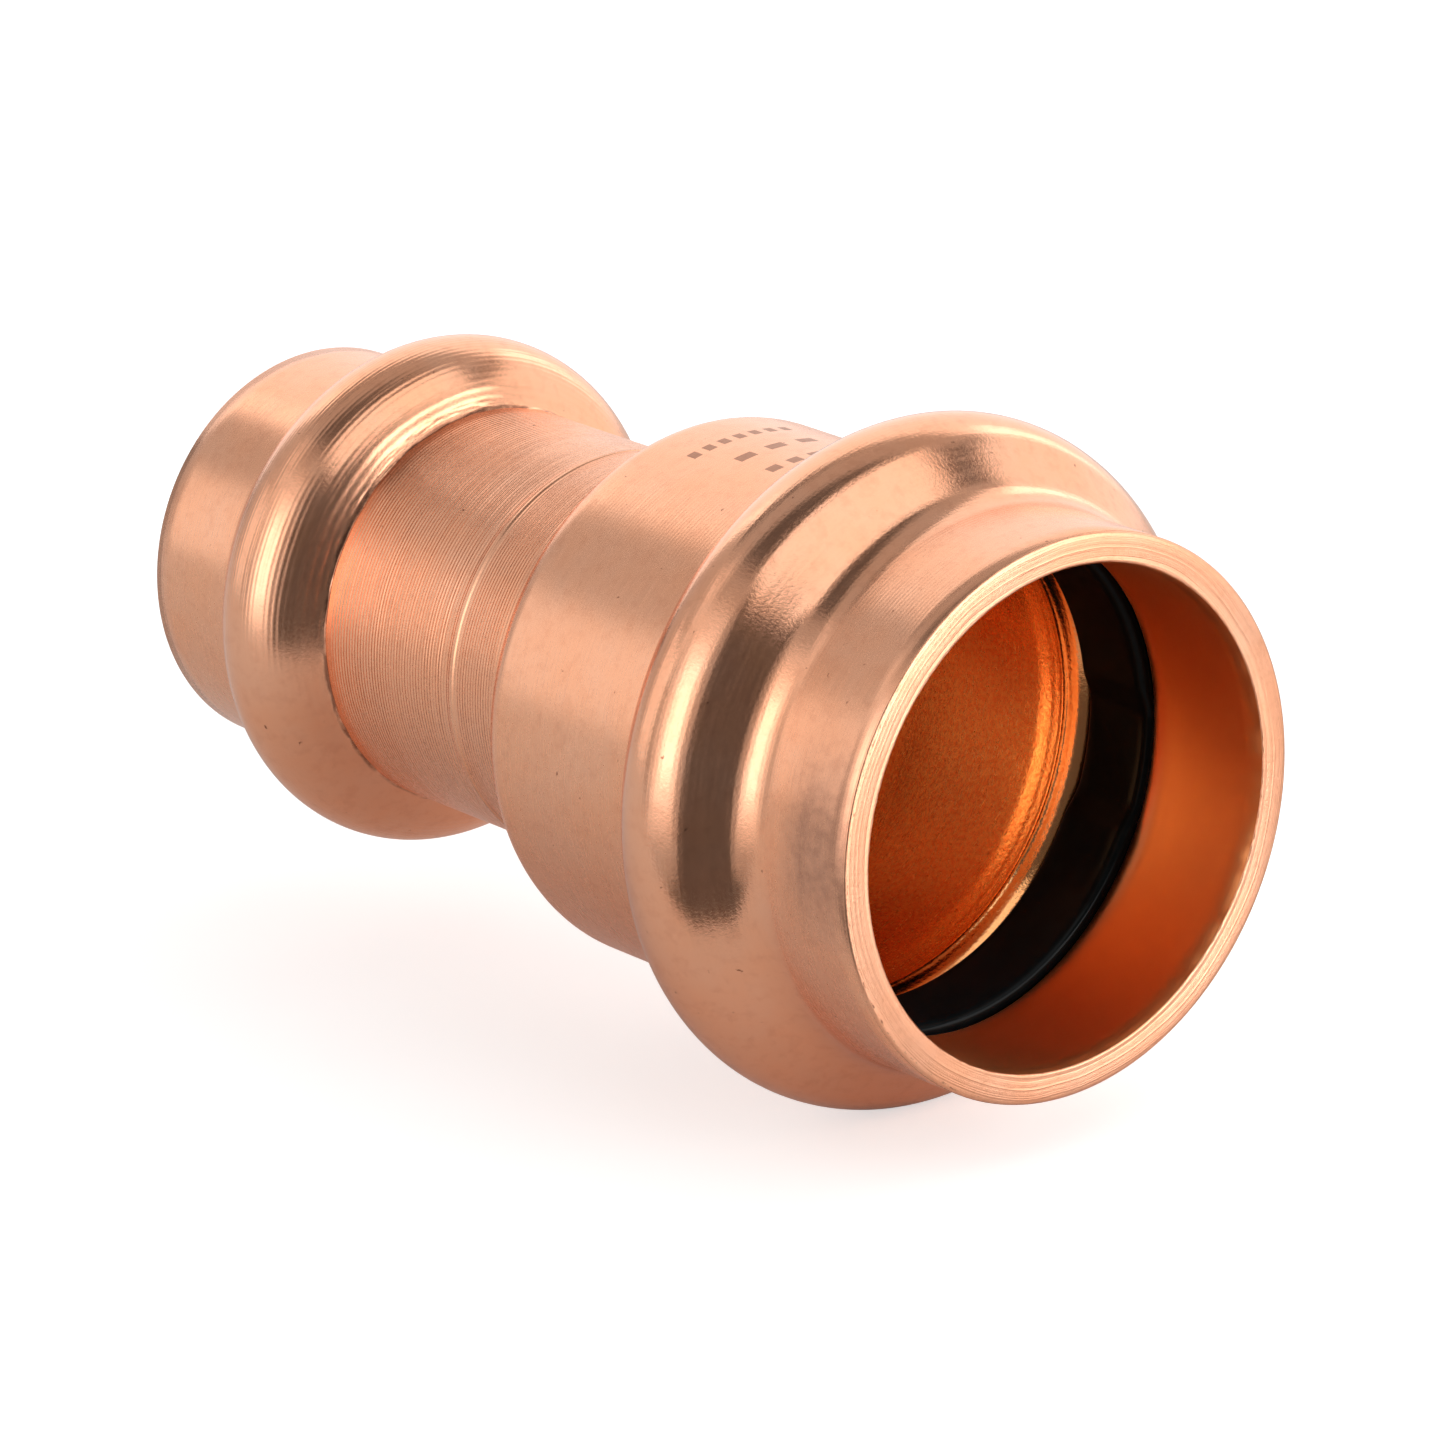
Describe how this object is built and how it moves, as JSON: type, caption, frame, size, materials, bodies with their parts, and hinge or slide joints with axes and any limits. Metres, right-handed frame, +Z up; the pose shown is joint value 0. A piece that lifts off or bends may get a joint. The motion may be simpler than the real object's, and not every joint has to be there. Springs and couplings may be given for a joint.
{
  "type": "reducing coupling",
  "caption": "Copper press-fit reducing coupling: a one-piece tube body with a rolled bead and a captive sealing ring at each end, for joining tubes of different sizes in line.",
  "frame": {"origin": "centre of the small mouth, on the fitting's axis", "axes": "+X along the axis, out of the large mouth; +Z up with the axis level"},
  "size_m": [0.0531, 0.031, 0.031],
  "materials": {
    "copper": "satin, with fine turning lines on the neck and the small bead",
    "seal_rubber": "lubricated gloss black"
  },
  "bodies": {
    "body": {"coupling_body": "copper"},
    "large_seal": {"large_seal_ring": "seal_rubber"},
    "small_seal": {"small_seal_ring": "seal_rubber"}
  },
  "joints": [
    {"name": "large_seal_turn", "type": "hinge", "parent": "body", "child": "large_seal", "pos_m": [0.04294, 0, 0], "axis": [1, 0, 0], "continuous": true},
    {"name": "small_seal_turn", "type": "hinge", "parent": "body", "child": "small_seal", "pos_m": [0.00956, 0, 0], "axis": [1, 0, 0], "continuous": true}
  ]
}
